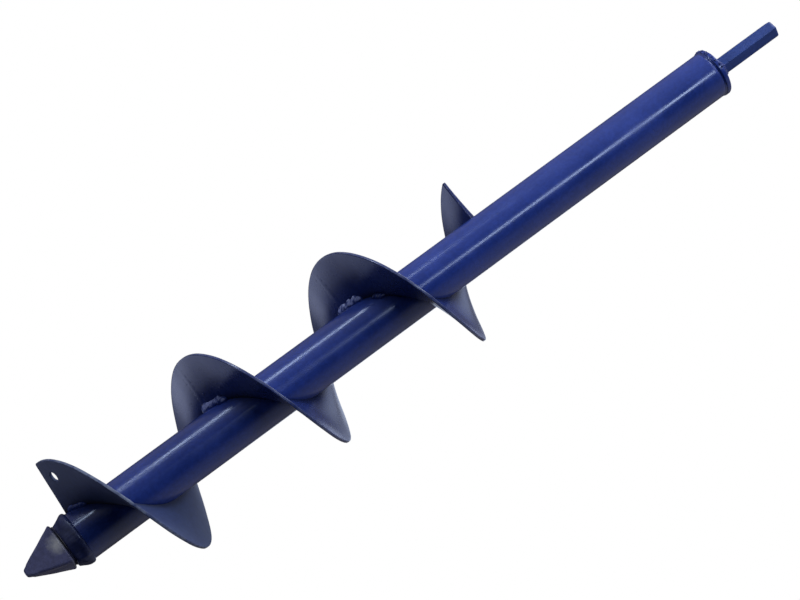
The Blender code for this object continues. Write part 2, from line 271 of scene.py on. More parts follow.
BLUE_DEEP, BLUE, BLUE_PALE = (0.014, 0.034, 0.205, 1), (0.020, 0.046, 0.270, 1), (0.14, 0.19, 0.38, 1)
# tube paint: painted shade at the foot of the tube below the first turn, and a gradual painted shade towards the point
# where the light falls off
tube_paint = sprayed_paint("tube_paint", BLUE_DEEP, BLUE, BLUE_PALE, rough=0.20, peel=0.013, speck=0.10, shaded=(0.060, 0.074, 0.62), light_falloff=(0.07, 0.34, 0.74))
shank_paint = sprayed_paint("shank_paint", (0.016, 0.038, 0.170, 1), (0.022, 0.052, 0.230, 1), BLUE_PALE, rough=0.30, spec=0.28, peel=0.05, speck=0.15)
FLIGHT_DEEP, FLIGHT_BLUE, FLIGHT_PALE = (0.008, 0.017, 0.098, 1), (0.012, 0.025, 0.135, 1), (0.12, 0.15, 0.27, 1)
flight_paint = sprayed_paint("flight_paint", FLIGHT_DEEP, FLIGHT_BLUE, FLIGHT_PALE, rough=0.25, peel=0.05, speck=0.12, tint=(0.82, 0.88, 1.0, 1), dulled=(0.110, 0.136, 0.62))
# its pale colour, laid on by the edge values, is a painted highlight on the crests of the root welds and pale worn
# paint elsewhere
weld_paint = sprayed_paint("weld_paint", (0.010, 0.022, 0.125, 1), (0.018, 0.038, 0.200, 1), (0.25, 0.30, 0.60, 1), rough=0.20, peel=0.10, speck=0.24)
# painted shade: a darker and duller copy of the weld paint, for the weld ring at the point's neck, which lies in shade
pilot_weld_shaded_paint = sprayed_paint("pilot_weld_shaded_paint", (0.005, 0.008, 0.034, 1), (0.014, 0.022, 0.100, 1), (0.10, 0.11, 0.20, 1), rough=0.40, peel=0.24, speck=0.45)
# point paint: painted shade darkens it from the top of the pyramid up into the neck
point_paint = sprayed_paint(
    "point_paint", (0.052, 0.060, 0.145, 1), (0.078, 0.090, 0.215, 1), (0.20, 0.21, 0.28, 1), rough=0.34, peel=0.20, speck=0.30,
    patch=((-0.0046, -0.0122, 0.0245), 0.0070, (0.34, 0.36, 0.39, 1), 0.90), tint=(0.9, 0.9, 1.0, 1), shaded=(0.0270, 0.0256, 0.25),
)


# ------------------------------------------------------------------ mesh helpers
def from_grid(name, points, wrap_u, wrap_v, material, replaced, edge=None, sharp=None, cap_u=False, corner=None):
    """Points of shape (u, v, 3) joined into a surface. A closed section runs along v; cap_u closes both ends along u."""
    pts = np.asarray(points, float)
    nu, nv = pts.shape[:2]
    faces = []
    for i in range(nu if wrap_u else nu - 1):
        i2 = (i + 1) % nu
        for j in range(nv if wrap_v else nv - 1):
            j2 = (j + 1) % nv
            faces.append((i * nv + j, i * nv + j2, i2 * nv + j2, i2 * nv + j))
    if cap_u:
        faces.append(tuple(range(nv))[::-1])
        faces.append(tuple((nu - 1) * nv + j for j in range(nv)))
    mesh = bpy.data.meshes.new(name)
    mesh.from_pydata(pts.reshape(-1, 3).tolist(), [], faces)
    for title, values in (("edge", edge), ("corner", corner)):
        if values is not None:
            att = mesh.attributes.new(title, "FLOAT", "POINT")
            att.data.foreach_set("value", np.asarray(values, np.float32).ravel())
    bm = bmesh.new()
    bm.from_mesh(mesh)
    bmesh.ops.remove_doubles(bm, verts=bm.verts, dist=1e-7)
    bmesh.ops.recalc_face_normals(bm, faces=bm.faces)
    if bm.calc_volume(signed=True) < 0:
        bmesh.ops.reverse_faces(bm, faces=bm.faces)
    bm.to_mesh(mesh)
    bm.free()
    return finish(name, mesh, material, replaced, sharp)


def finish(name, mesh, material, replaced, sharp=None):
    if "edge" not in mesh.attributes:
        mesh.attributes.new("edge", "FLOAT", "POINT")
    mesh.shade_smooth()
    if sharp:
        mesh.set_sharp_from_angle(angle=math.radians(sharp))
    mesh.materials.clear()
    mesh.materials.append(material)
    obj = bpy.data.objects.new(name, mesh)
    bpy.context.scene.collection.objects.link(obj)
    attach(obj, "root")
    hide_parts(replaced)
    return obj


def spun(profile, steps, shape=None):
    """A closed (r, z) profile turned round the axis. shape(deg, r, z, k) may move each point."""
    rows = []
    for i in range(steps):
        deg = 360.0 * i / steps
        row = []
        for k, (r, z) in enumerate(profile):
            if shape:
                r, z = shape(deg, r, z, k)
            row.append(polar(r, deg, z))
        rows.append(row)
    return rows


# ------------------------------------------------------------------ tube
def make_tube():
    steps, levels = 144, 260
    zs = [TUBE_Z0 + (TUBE_Z1 - 0.0012 - TUBE_Z0) * k / levels for k in range(levels + 1)]
    profile = [(TUBE_BORE_R, TUBE_Z1), (TUBE_BORE_R, 0.30), (TUBE_BORE_R, TUBE_Z0)]
    profile += [(TUBE_R, z) for z in zs]
    profile += [(TUBE_R - 0.0001, TUBE_Z1 - 0.0009), (TUBE_R - 0.0005, TUBE_Z1 - 0.0004), (TUBE_R - 0.0010, TUBE_Z1)]

    def shape(deg, r, z, k):
        if r < TUBE_R - 0.0011:
            return r, z
        x, y, _ = polar(r, deg, z)
        r += 0.000024 * nz(x, y, z * 0.55, 28.0, 3.1) + 0.000006 * nz(x, y, z, 120.0, 7.7)
        return r, z

    rows = spun(profile, steps, shape)
    edge = np.zeros((steps, len(profile)))
    edge[:, -4:] = 0.5
    # painted shade on the tube just under the flight, and in a narrower line just above it, by the corner values
    corner = np.zeros((steps, len(profile)))
    for i in range(steps):
        first = (360.0 * i / steps - START_DEG) % 360
        for turn in range(4):
            t = first + 360 * turn
            if t > TOTAL_DEG + TAIL_ROOT_DEG:
                continue
            for k, (r, z) in enumerate(profile):
                if r > TUBE_R - 0.0002:
                    gap = screw_z(t) - z
                    reach = 0.0060 if gap > 0 else 0.0030
                    corner[i, k] = max(corner[i, k], 0.75 * max(0.0, 1 - abs(gap) / reach))
    return from_grid("tube_body", rows, True, True, tube_paint, "centre_tube", edge=edge, sharp=40, corner=corner)


# ------------------------------------------------------------------ flight
def warp(r, t):
    """Small buckles left by rolling the plate, growing towards the rim."""
    a = math.radians(START_DEG + t)
    out = max(0.0, (r - TUBE_R) / (FLIGHT_R - TUBE_R))
    x, y, z = r * math.cos(a), r * math.sin(a), screw_z(t)
    return out ** 1.5 * (0.00022 * nz(x, y, z, 30.0, 1.7) + 0.00009 * nz(x, y, z, 85.0, 5.3))


PLATE_RADII = [TUBE_R - 0.0004, 0.0168, 0.0182, 0.0205, 0.0235, 0.0270, 0.0310, 0.0350, 0.0390, 0.0430, 0.0465, 0.0488]


def make_flight(index):
    begin, end = index * SECTION_DEG, (index + 1) * SECTION_DEG
    soft = 0.00058
    radii = PLATE_RADII
    steps = 190

    def span(r):
        share = (r - TUBE_R) / (FLIGHT_R - TUBE_R)
        a, b = begin, end
        if index == 0:
            a = LEAD_ROOT_DEG + (LEAD_RIM_DEG - LEAD_ROOT_DEG) * share
        else:
            a += math.degrees(0.0009 / math.hypot(r, RISE))
        if index == SECTIONS - 1:
            b = end + TAIL_ROOT_DEG + (TAIL_RIM_DEG - TAIL_ROOT_DEG) * share
        else:
            b -= math.degrees(0.0009 / math.hypot(r, RISE))
        return a, b

    # places along the turn: close together at both ends, where the edge is rounded over
    arc = math.radians(end - begin) * 0.045
    fine = [0.0, 0.00012, 0.0003, 0.00055, 0.0010, 0.0020, 0.0035]
    places = [f / arc for f in fine]
    places += [places[-1] + (1 - 2 * places[-1]) * k / steps for k in range(1, steps)]
    places += [1 - f / arc for f in reversed(fine)]
    rows, edges, corners = [], [], []
    for s in places:
        from_end = min(s, 1 - s) * arc
        free = (index == 0 and s < 0.5) or (index == SECTIONS - 1 and s > 0.5)
        slim = 1.0
        if from_end < soft:
            slim = math.sqrt(max(0.0, 1 - (1 - from_end / soft) ** 2)) * 0.45 + 0.55
        outer = FLIGHT_R
        blunt = 0.0014 if index == 0 else 0.0008
        if free and from_end < blunt:  # the free corner is knocked off by grinding
            outer -= blunt * (1 - math.sqrt(1 - (1 - from_end / blunt) ** 2)) * 0.8
        upper, lower, e_up, e_lo = [], [], [], []
        line = [(r, 1.0) for r in radii if r < outer - soft]
        line += [(outer - soft * 1.6, 1.0), (outer - soft * 0.9, 0.985), (outer - soft * 0.35, 0.90), (outer - soft * 0.08, 0.76), (outer, 0.50)]
        while len(line) < len(radii) + 5:
            line.insert(0, line[0])
        for r, h_share in line:
            a, b = span(r)
            t = a + (b - a) * s
            rr = r
            if r > 0.049:
                rr += 0.00010 * nz(math.cos(math.radians(t)), math.sin(math.radians(t)), t / 200, 3.0, 9.0)
            h = half_height(r, FLIGHT_T) * h_share * slim
            z = screw_z(t) + warp(r, t)
            upper.append(polar(rr, START_DEG + t, z + h))
            lower.append(polar(rr, START_DEG + t, z - h))
            # pale along the rim: partly worn paint, partly a painted highlight where the rim's edge catches the light
            worn = max(0.0, 1 - (outer - r) / 0.0010) * 0.70
            if free:
                worn = max(worn, max(0.0, 1 - from_end / 0.0013) * 0.45)
            e_up.append(worn)
            e_lo.append(worn)
        rows.append(upper + lower[::-1])
        edges.append(e_up + e_lo[::-1])
        # painted shade on the plate near the root, a little less on its upper face
        near_root = [max(0.0, 1 - (r - TUBE_R) / 0.0050) ** 0.8 if r > TUBE_R else 1.0 for r, _ in line]
        corners.append([c * 0.8 for c in near_root] + near_root[::-1])
    name = f"flight_plate_{index + 1}"
    obj = from_grid(name, rows, False, True, flight_paint, f"flight_section_{index + 1}", edge=edges, sharp=50, cap_u=True, corner=corners)
    if index == 0:
        t = HOLE_AT_DEG
        a = math.radians(START_DEG + t)
        centre = Vector(polar(HOLE_AT_R, START_DEG + t, screw_z(t) + warp(HOLE_AT_R, t)))
        radial = Vector((math.cos(a), math.sin(a), 0))
        along = Vector((-math.sin(a) * HOLE_AT_R, math.cos(a) * HOLE_AT_R, RISE)).normalized()
        normal = radial.cross(along)
        bm = bmesh.new()
        profile = [(0.0, -0.006), (HOLE_R + 0.0004, -0.006), (HOLE_R + 0.0004, -0.00112), (HOLE_R + 0.00012, -0.00085), (HOLE_R, -0.0006),
                   (HOLE_R, 0.0006), (HOLE_R + 0.00012, 0.00085), (HOLE_R + 0.0004, 0.00112), (HOLE_R + 0.0004, 0.006), (0.0, 0.006)]
        vs = [bm.verts.new((r, 0, z)) for r, z in profile]
        es = [bm.edges.new(p) for p in zip(vs, vs[1:])]
        bmesh.ops.spin(bm, geom=vs + es, cent=(0, 0, 0), axis=(0, 0, 1), angle=2 * math.pi, steps=56, use_merge=True)
        bmesh.ops.remove_doubles(bm, verts=bm.verts, dist=1e-7)
        bmesh.ops.recalc_face_normals(bm, faces=bm.faces)
        if bm.calc_volume(signed=True) < 0:
            bmesh.ops.reverse_faces(bm, faces=bm.faces)
        cm = bpy.data.meshes.new("hole_cutter")
        bm.to_mesh(cm)
        bm.free()
        cutter = bpy.data.objects.new("hole_cutter", cm)
        bpy.context.scene.collection.objects.link(cutter)
        cutter.matrix_world = Matrix.Translation(centre) @ normal.to_track_quat("Z", "Y").to_matrix().to_4x4()
        cut = obj.modifiers.new("hole", "BOOLEAN")
        cut.operation = "DIFFERENCE"
        cut.solver = "EXACT"
        cut.object = cutter
        bpy.context.view_layer.update()
        dg = bpy.context.evaluated_depsgraph_get()
        done = bpy.data.meshes.new_from_object(obj.evaluated_get(dg), preserve_all_data_layers=True, depsgraph=dg)
        obj.modifiers.remove(cut)
        old = obj.data
        obj.data = done
        bpy.data.meshes.remove(old)
        bpy.data.objects.remove(cutter, do_unlink=True)
        done.name = name
        done.materials.clear()
        done.materials.append(flight_paint)
        done.shade_smooth()
        done.set_sharp_from_angle(angle=math.radians(38))
    return obj


# ------------------------------------------------------------------ welds
def bead(name, centreline, size_at, replaced, spacing=0.0017, ripple=0.12, lump=0.34, seed=1.0, around=16, flat=1.0, shine=0.62):
    """A run of weld: a rope of overlapping crescents along the centreline. Each entry of centreline is
    (point, outward direction, sideways direction); the section is an oval across those two directions."""
    rows, edges = [], []
    length = [0.0]
    for a, b in zip(centreline, centreline[1:]):
        length.append(length[-1] + (Vector(b[0]) - Vector(a[0])).length)
    total = length[-1]
    for (p, out, side), s in zip(centreline, length):
        p, out, side = Vector(p), Vector(out), Vector(side)
        size = size_at(s / total)
        row, er = [], []
        for k in range(around):
            a = 2 * math.pi * k / around
            c, w = math.cos(a), math.sin(a)
            phase = s / spacing - 0.42 * (1 - w * w) * (1 if c > 0 else 0.3)
            saw = phase - math.floor(phase)
            crest = math.sin(math.pi * saw ** 0.65)
            q = p + out * size * c + side * size * w
            wob = lump * nz(q.x, q.y, q.z, 230.0, seed) + 0.25 * lump * nz(q.x, q.y, q.z, 560.0, seed + 2)
            k2 = size * (1 + ripple * (crest - 0.5) + wob)
            row.append(tuple(p + out * k2 * c * flat + side * k2 * w))
            # pale on the outward crests of the bead: a painted highlight, scaled by shine
            er.append(shine * max(0.0, c) * (0.45 * crest + 0.55 + 0.9 * nz(q.x, q.y, q.z, 420.0, seed + 4)))
        rows.append(row)
        edges.append(er)
    return rows, edges


def add_droplets(obj, places, seed):
    """Small round spatter stuck to the surface, joined into the weld's own mesh."""
    bm = bmesh.new()
    bm.from_mesh(obj.data)
    for i, (p, out, r) in enumerate(places):
        got = bmesh.ops.create_icosphere(bm, subdivisions=2, radius=r)
        turn = Vector(out).to_track_quat("Z", "Y").to_matrix().to_4x4()
        squash = Matrix.Diagonal((1.0, 1.0, 0.7, 1.0))
        bmesh.ops.transform(bm, matrix=Matrix.Translation(Vector(p)) @ turn @ squash, verts=got["verts"])
    for f in bm.faces:
        f.smooth = True
    bm.to_mesh(obj.data)
    bm.free()
    obj.data.materials.clear()
    obj.data.materials.append(weld_paint)


def spread(n, seed):
    """Repeatable numbers from 0 to 1, n rows of 4."""
    return np.random.RandomState(seed).rand(n, 4)


def root_run(name, begin, end, leg, side, seed, extra=0, shine=0.62):
    steps = int((end - begin) * 3.2) + 8
    line = []
    for i in range(steps + 1):
        t = begin + (end - begin) * i / steps
        a = math.radians(START_DEG + t)
        radial = Vector((math.cos(a), math.sin(a), 0))
        wander = 0.00025 * nz(t, seed, 0.0, 0.11, seed)
        face = screw_z(t) + side * half_height(TUBE_R, FLIGHT_T)
        # the plate leans here, so the corner between plate and tube is not square
        p = radial * (TUBE_R + leg * 0.20 + wander) + Vector((0, 0, face + side * leg * 0.26))
        out = (radial + Vector((0, 0, side * 0.85))).normalized()
        across = (radial * -0.85 + Vector((0, 0, side))).normalized()
        line.append((p, out, across))
    rs = spread(8, int(seed * 10) + 3)

    def size_at(s):
        ends = min(1.0, 0.35 + 7.0 * min(s, 1 - s))
        blob = 1 + 0.10 * math.sin(s * 23 + rs[0, 0] * 6) + 0.08 * math.sin(s * 41 + rs[0, 1] * 6)
        return leg * 0.60 * ends * blob

    bright = shine > 0.9
    rows, edges = bead(name, line, size_at, None, seed=seed, shine=shine, ripple=0.07 if bright else 0.12, lump=0.62 if bright else 0.34)
    obj = from_grid(name, rows, False, True, weld_paint, name.replace("weld_run", "root_weld"), edge=edges, cap_u=True)
    drops = []
    for q in spread(extra, int(seed * 100) + 11):
        t = begin - 6 + (end - begin + 12) * q[0]
        a = START_DEG + t
        r = 0.00028 + 0.00035 * q[3]
        if q[1] < 0.5:  # on the tube
            z = screw_z(t) + side * (half_height(TUBE_R, FLIGHT_T) + leg * 0.7 + 0.006 * q[2])
            drops.append((polar(TUBE_R + r * 0.15, a, z), (math.cos(math.radians(a)), math.sin(math.radians(a)), 0), r))
        else:  # on the plate
            rr = TUBE_R + leg * 0.9 + 0.007 * q[2]
            z = screw_z(t) + warp(rr, t) + side * (half_height(rr, FLIGHT_T) + r * 0.1)
            drops.append((polar(rr, a, z), (0, 0, side), r))
    if drops:
        add_droplets(obj, drops, seed)
    return obj


def joint_run(index):
    """Butt weld between two sections, dressed nearly flush on both faces of the plate and painted over."""
    turned = index * SECTION_DEG
    radii = np.linspace(TUBE_R + 0.0002, FLIGHT_R - 0.0002, 70)
    knots = np.array(PLATE_RADII + [FLIGHT_R - 0.0009])
    rows, edges = [], []
    for i, r in enumerate(radii):
        saw = (r / 0.0021) % 1.0
        crest = math.sin(math.pi * saw ** 0.7)
        end = min(1.0, 0.3 + min(r - radii[0], radii[-1] - r) / 0.0012)
        w = math.degrees((0.0024 + 0.0003 * nz(r, 0, 0, 300, index)) / math.hypot(r, RISE))
        row, er = [], []
        shape = tuple((k / 6, 0.5 + 0.5 * math.cos(math.pi * k / 6)) for k in range(-6, 7))
        for face in (1, -1):
            seq = shape if face > 0 else shape[::-1]
            for share, up in seq:
                t = turned + w * share
                lift = (0.000040 + 0.000003 * crest) * up * end - 0.000006
                # the plate is straight between its own rings of points, so the seam follows the same lines
                buckle = float(np.interp(r, knots, [warp(float(q), t) for q in knots]))
                thick = float(np.interp(r, knots, [half_height(float(q), FLIGHT_T) for q in knots]))
                row.append(polar(r, START_DEG + t, screw_z(t) + buckle + face * (thick + lift)))
                er.append(0.0)
        rows.append(row)
        edges.append(er)
    return from_grid(f"flight_seam_{index}", rows, False, True, flight_paint, f"flight_joint_weld_{index}", edge=edges, cap_u=True)


def dimes(deg, r, spacing, lean):
    """Height from 0 to 1 of the crescents in a ring of weld at this direction."""
    phase = math.radians(deg) * r / spacing - lean
    n = max(1, round(2 * math.pi * r / spacing))
    phase = deg / 360.0 * n - lean
    saw = phase - math.floor(phase)
    return math.sin(math.pi * saw ** 0.65)


def pilot_ring():
    outer = [
        (0.01352, 0.0286), (0.0139, 0.0286), (0.0143, 0.0290), (0.0147, 0.0299), (0.0151, 0.0309), (0.0157, 0.0321), (0.0163, 0.0333),
        (0.0169, 0.0345), (0.0173, 0.0355), (0.01755, 0.0363), (0.0176, 0.0370), (0.0175, 0.0376), (0.0171, 0.0382), (0.0165, 0.0386), (0.0161, 0.03875), (0.0158, 0.0388),
    ]
    inner = [(0.0150, 0.0372), (0.0140, 0.0350), (0.0131, 0.0320), (0.0130, 0.0295)]
    profile = outer + inner
    n_out = len(outer)

    def shape(deg, r, z, k):
        if k >= n_out:
            return r, z
        share = k / (n_out - 1)
        bell = math.sin(math.pi * min(1, share * 1.02))
        x, y, _ = polar(r, deg, z)
        crest = dimes(deg, 0.0168, 0.0024, 0.9 * (share - 0.5) ** 2)
        push = bell * (0.00008 * (crest - 0.5) + 0.00095 * nz(x, y, z, 120.0, 4.0) + 0.00045 * nz(x, y, z, 300.0, 8.0) + 0.00010 * nz(x, y, z, 800.0, 1.0))
        return min(r + push * 0.85, 0.01775), z - push * 0.5 + 0.0004 * bell * nz(x, y, 0, 110.0, 6.0)

    rows = spun(profile, 280, shape)
    edge = np.zeros((280, len(profile)))
    edge[:, 6:12] = 0.12
    return from_grid("pilot_ring", rows, True, True, pilot_weld_shaded_paint, "pilot_weld", edge=edge, sharp=60)


def groove_ring():
    profile = [
        (0.0141, TUBE_Z1 - 0.0010), (0.01585, TUBE_Z1 - 0.0016), (0.01602, TUBE_Z1 - 0.0013), (0.01612, TUBE_Z1 - 0.0008), (0.01622, TUBE_Z1 - 0.0002), (0.01632, PLATE_Z0 + 0.0001),
        (0.01645, PLATE_Z0 + 0.0005), (0.01655, PLATE_Z0 + 0.0009), (0.0150, PLATE_Z0 + 0.0012), (0.0141, PLATE_Z0 + 0.0012),
    ]

    def shape(deg, r, z, k):
        if not 1 <= k <= 7:
            return r, z
        x, y, _ = polar(r, deg, z)
        # the groove is left open on the front right and filled up elsewhere
        off = abs((deg + 78 + 180) % 360 - 180)
        hollow = max(0.0, 1 - (off / 38) ** 2) * math.sin(math.pi * min(1, k / 7))
        lump = 0.00034 * nz(x, y, z, 170.0, 2.2) + 0.00018 * nz(x, y, z, 480.0, 1.0)
        return r - 0.0009 * hollow + lump * math.sin(math.pi * min(1, (k + 0.3) / 7.6)), z + 0.0003 * nz(x, y, 0, 210.0, 5.5)

    rows = spun(profile, 260, shape)
    edge = np.zeros((260, len(profile)))
    edge[:, 3:7] = 0.30
    return from_grid("plate_seam", rows, True, True, weld_paint, "end_plate_weld", edge=edge, sharp=60)


def plate_disc():
    r, b = PLATE_R, 0.0006
    profile = [
        (0.0060, PLATE_Z0), (0.0110, PLATE_Z0), (r - b, PLATE_Z0), (r - b * 0.62, PLATE_Z0 + b * 0.08), (r - b * 0.29, PLATE_Z0 + b * 0.29), (r - b * 0.08, PLATE_Z0 + b * 0.62),
        (r, PLATE_Z0 + b), (r + 0.00005, (PLATE_Z0 + PLATE_Z1) / 2), (r, PLATE_Z1 - b), (r - b * 0.08, PLATE_Z1 - b * 0.62), (r - b * 0.29, PLATE_Z1 - b * 0.29),
        (r - b * 0.62, PLATE_Z1 - b * 0.08), (r - b, PLATE_Z1), (0.0150, PLATE_Z1), (0.0130, PLATE_Z1), (0.0110, PLATE_Z1), (0.0060, PLATE_Z1),
    ]

    def shape(deg, rr, z, k):
        if not 2 <= k <= 14:
            return rr, z
        x, y, _ = polar(rr, deg, z)
        return rr + 0.00016 * nz(x, y, z, 120.0, 3.0) + 0.00007 * nz(x, y, z, 480.0, 5.0), z + 0.00005 * nz(x, y, z, 200, 2.0)

    rows = spun(profile, 180, shape)
    edge = np.zeros((180, len(profile)))
    edge[:, 3:12] = 0.45
    return from_grid("plate_disc", rows, True, True, tube_paint, "end_plate", edge=edge, sharp=50)


def shank_bar():
    """Drawn hexagon bar: corners a little rounded, the free end chamfered and faced."""
    half = HEX_AF / 2
    per = 8

    def ring(half_flat, z, soften):
        pts = []
        corner = half_flat / math.cos(math.radians(30))
        for k in range(6):
            c0 = HEX_CORNER_DEG + 60 * k
            # corner arc, then the flat up to the next corner
            c = Vector(polar(corner, c0, 0))
            inward = -c.normalized()
            centre = c + inward * soften / math.cos(math.radians(30))
            for j in range(-2, 3):
                a = math.radians(c0 + 15 * j)
                pts.append((centre.x + soften * math.cos(a), centre.y + soften * math.sin(a), z))
            nxt = Vector(polar(corner, c0 + 60, 0))
            centre2 = nxt - nxt.normalized() * soften / math.cos(math.radians(30))
            a1, a2 = math.radians(c0 + 30), math.radians(c0 + 30)
            p1 = Vector((centre.x + soften * math.cos(a1), centre.y + soften * math.sin(a1)))
            p2 = Vector((centre2.x + soften * math.cos(a2), centre2.y + soften * math.sin(a2)))
            for j in range(1, per):
                q = p1.lerp(p2, j / per)
                pts.append((q.x, q.y, z))
        return pts

    levels = [(half - 0.0009, SHANK_Z0), (half, SHANK_Z0 + 0.0009)]
    levels += [(half, SHANK_Z0 + 0.002 + (SHANK_Z1 - 0.0021 - SHANK_Z0 - 0.002) * k / 46) for k in range(47)]
    levels += [
        (half - 0.00005, SHANK_Z1 - 0.00110), (half - 0.00020, SHANK_Z1 - 0.00075), (half - 0.00045, SHANK_Z1 - 0.00045), (half - 0.00080, SHANK_Z1 - 0.00020),
        (half - 0.00120, SHANK_Z1 - 0.00005), (half - 0.0017, SHANK_Z1), (half - 0.0035, SHANK_Z1),
    ]
    rows, edges = [], []
    for h, z in levels:
        row = ring(h, z, min(0.0009, h * 0.4))
        row = [
            (x * (1 + 0.006 * nz(x, y, z, 90.0, 2.5)), y * (1 + 0.006 * nz(x, y, z, 90.0, 2.5)), zz) for x, y, zz in row
        ]
        rows.append(row)
        at_end = max(0.0, 1 - (SHANK_Z1 - z) / 0.0016)
        edges.append([max(0.22 if (i % (5 + per - 1)) < 5 else 0.0, 0.15 * at_end) for i in range(len(row))])
    return from_grid("shank_bar", rows, False, True, shank_paint, "drive_shank", edge=edges, sharp=34, cap_u=True)


def shank_fillet():
    """Concave fillet of weld round the foot of the hexagon, wandering a little on the plate."""
    prof = [(0.0, 0.0057), (0.0004, 0.0056), (0.0009, 0.0050), (0.0013, 0.0041), (0.0018, 0.0032), (0.0024, 0.0024), (0.0031, 0.0017), (0.0039, 0.0011), (0.0048, 0.0006), (0.0055, 0.0002), (0.0058, -0.0001)]
    low = [(0.0030, -0.0004), (0.0, -0.0004)]
    steps = 240
    rows = []
    for i in range(steps):
        deg = HEX_CORNER_DEG + 360 * i / steps
        off = (deg - HEX_CORNER_DEG) % 60.0 - 30.0
        flat = (HEX_AF / 2 - 0.0002) / math.cos(math.radians(off))
        round_r = (HEX_AF / 2 - 0.0002) / math.cos(math.radians(30))
        swell = 1 + 0.16 * nz(math.cos(math.radians(deg)), math.sin(math.radians(deg)), 0, 1.6, 4.4) + 0.16 * max(0.0, math.cos(math.radians(deg + 5)))
        row = []
        for k, (grow, rise) in enumerate(prof + low):
            blend = min(1.0, grow / 0.0034)
            r = flat * (1 - blend) + round_r * blend + grow * swell
            z = PLATE_Z1 + rise * (swell if rise > 0 else 1)
            if 0 < k < len(prof) - 1:
                x, y, _ = polar(r, deg, z)
                bell = math.sin(math.pi * k / (len(prof) - 1))
                crest = dimes(deg, 0.009, 0.0019, 0.6 * (k / len(prof) - 0.5) ** 2 * 4)
                push = bell * (0.00050 * (crest - 0.5) + 0.00045 * nz(x, y, z, 300.0, 3.3))
                r += push * 0.6
                z += push * 0.7
            row.append(polar(r, deg, z))
        rows.append(row)
    edge = np.zeros((steps, len(prof + low)))
    edge[:, 2:9] = 0.15
    obj = from_grid("shank_fillet", rows, True, True, weld_paint, "shank_weld", edge=edge, sharp=65)
    drops = []
    for q in spread(16, 77):
        deg = 360 * q[0]
        r = 0.00025 + 0.00035 * q[3]
        rr = 0.0125 + 0.0034 * q[1]
        drops.append((polar(rr, deg, PLATE_Z1 + r * 0.1), (0, 0, 1), r))
    for q in spread(24, 91):
        deg = 165 + 110 * q[0]
        r = 0.00040 + 0.00045 * q[3]
        drops.append((polar(PLATE_R + r * 0.1, deg, PLATE_Z0 + 0.0004 + 0.0024 * q[2]), polar(1, deg, 0), r))
    add_droplets(obj, drops, 5)
    return obj


# ------------------------------------------------------------------ point
def make_point():
    turn = math.radians(POINT_TURN_DEG)
    side_pts, arc_pts = 12, 6

    def ring(half, z, corner, dent):
        row = []
        for k in range(4):
            cx, cy = ((1, 1), (-1, 1), (-1, -1), (1, -1))[k]
            arc = []
            for i in range(arc_pts):
                a = math.radians(90 * k + 90 * i / (arc_pts - 1))
                arc.append((cx * (half - corner) + corner * math.cos(a), cy * (half - corner) + corner * math.sin(a)))
            nx, ny = ((-1, 1), (-1, -1), (1, -1), (1, 1))[k]
            a = math.radians(90 * (k + 1))
            start = (nx * (half - corner) + corner * math.cos(a), ny * (half - corner) + corner * math.sin(a))
            last = arc[-1]
            row += arc
            for i in range(1, side_pts):
                f = i / side_pts
                row.append((last[0] + (start[0] - last[0]) * f, last[1] + (start[1] - last[1]) * f))
        out = []
        for x, y in row:
            n = nz(x, y, z, 130.0, 2.0) * 0.00030 + nz(x, y, z, 330.0, 6.0) * 0.00012
            n *= dent
            r = math.hypot(x, y)
            s = 1 + n / max(r, 0.002)
            x, y = x * s, y * s
            out.append((x * math.cos(turn) - y * math.sin(turn) + POINT_OFFSET_X, x * math.sin(turn) + y * math.cos(turn), z))
        return out

    rows, edges = [], []
    edge_row = ([0.55] * arc_pts + [0.0] * (side_pts - 1)) * 4

    def level(half, z, corner, dent=1.0, worn=None):
        rows.append(ring(half, z, corner, dent))
        edges.append(edge_row if worn is None else [max(e, worn) for e in edge_row])

    # the apex is forged blunt and worn round
    for half, z, corner, worn in (
        (0.0006, 0.0, 0.0005, 0.5), (0.0013, 0.00005, 0.0011, 0.5), (0.0019, 0.00020, 0.0016, 0.5), (0.0024, 0.00050, 0.0019, 0.45), (0.0028, 0.0010, 0.0020, 0.4),
        (0.0031, 0.0017, 0.0018, 0.35), (0.0035, 0.0027, 0.0015, 0.3),
    ):
        level(half, z, corner, 0.6, worn)
    slope = (POINT_BASE_HALF - POINT_TIP_HALF) / POINT_H
    for k in range(1, 34):
        z = 0.0032 + (POINT_H - 0.0032) * k / 33
        level(POINT_TIP_HALF + slope * z - 0.0004 * (1 - k / 33), z, 0.0012 + 0.0006 * k / 33)
    level(POINT_BASE_HALF - 0.00004, POINT_H + 0.00005, 0.0018, 1.0, 0.3)
    level(POINT_BASE_HALF - 0.0001, POINT_H + 0.0006, 0.0019, 1.0, 0.25)
    level(POINT_BASE_HALF - 0.0004, POINT_H + 0.0010, 0.0020, 1.0, 0.1)
    level(POINT_BASE_HALF - 0.0009, POINT_H + 0.00135, 0.0022, 1.0)
    level(POINT_BASE_HALF - 0.0015, POINT_H + 0.0016, 0.0030, 1.0)
    level(STEM_R + 0.0002, POINT_H + 0.0021, STEM_R * 0.80, 0.6)
    level(STEM_R + 0.0001, POINT_H + 0.0028, STEM_R * 0.97, 0.4)
    level(STEM_R, POINT_H + 0.0036, STEM_R * 0.999, 0.1)
    level(STEM_R, STEM_Z1 - 0.0015, STEM_R * 0.999, 0.0)
    level(STEM_R - 0.0015, STEM_Z1, (STEM_R - 0.0015) * 0.999, 0.0)
    return from_grid("point_forging", rows, False, True, point_paint, "pilot_point", edge=edges, sharp=48, cap_u=True)


